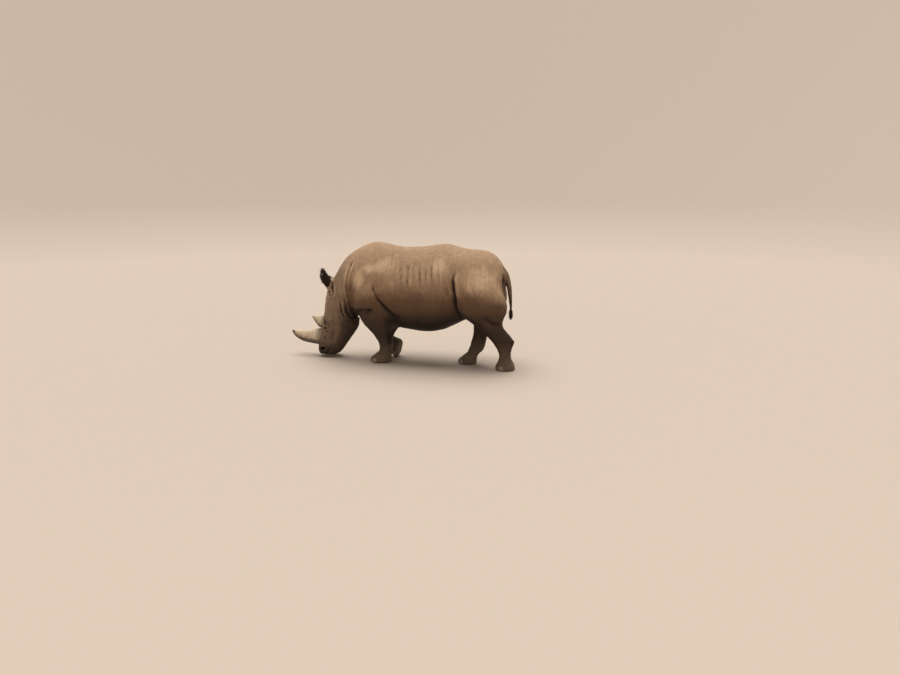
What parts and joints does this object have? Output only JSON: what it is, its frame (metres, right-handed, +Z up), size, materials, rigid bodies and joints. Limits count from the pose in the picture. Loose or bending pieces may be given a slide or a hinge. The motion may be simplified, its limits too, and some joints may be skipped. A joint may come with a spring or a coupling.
{
  "type": "white rhinoceros",
  "caption": "Life-size white rhinoceros as a still museum model, walking with its head low and its square lips just above the ground.",
  "frame": {"origin": "centre of the bounding box on the floor that the feet stand on", "axes": "+Z up, -Y the way the animal faces, +X its left side"},
  "size_m": [0.947, 3.3559, 1.6788],
  "materials": {
    "hide": "dry, dusty and finely wrinkled",
    "horn": "worn keratin, pale on the sides and dark at the tip",
    "nail": "dusty keratin",
    "eye": "wet and glossy",
    "hair": "coarse dark hair"
  },
  "bodies": {
    "root": {"head": "hide", "neck": "hide", "trunk": "hide", "tail": "hide", "tail_tuft": "hair", "ear_left": "hide", "ear_right": "hide", "eye_left": "eye", "eye_right": "eye", "horn_front": "horn", "horn_rear": "horn", "leg_fore_left": "hide", "leg_fore_right": "hide", "leg_hind_left": "hide", "leg_hind_right": "hide", "foot_fore_left": "hide", "foot_fore_right": "hide", "foot_hind_left": "hide", "foot_hind_right": "hide", "nail_fore_left_inner": "nail", "nail_fore_left_middle": "nail", "nail_fore_left_outer": "nail", "nail_fore_right_inner": "nail", "nail_fore_right_middle": "nail", "nail_fore_right_outer": "nail", "nail_hind_left_inner": "nail", "nail_hind_left_middle": "nail", "nail_hind_left_outer": "nail", "nail_hind_right_inner": "nail", "nail_hind_right_middle": "nail", "nail_hind_right_outer": "nail"}
  },
  "joints": []
}
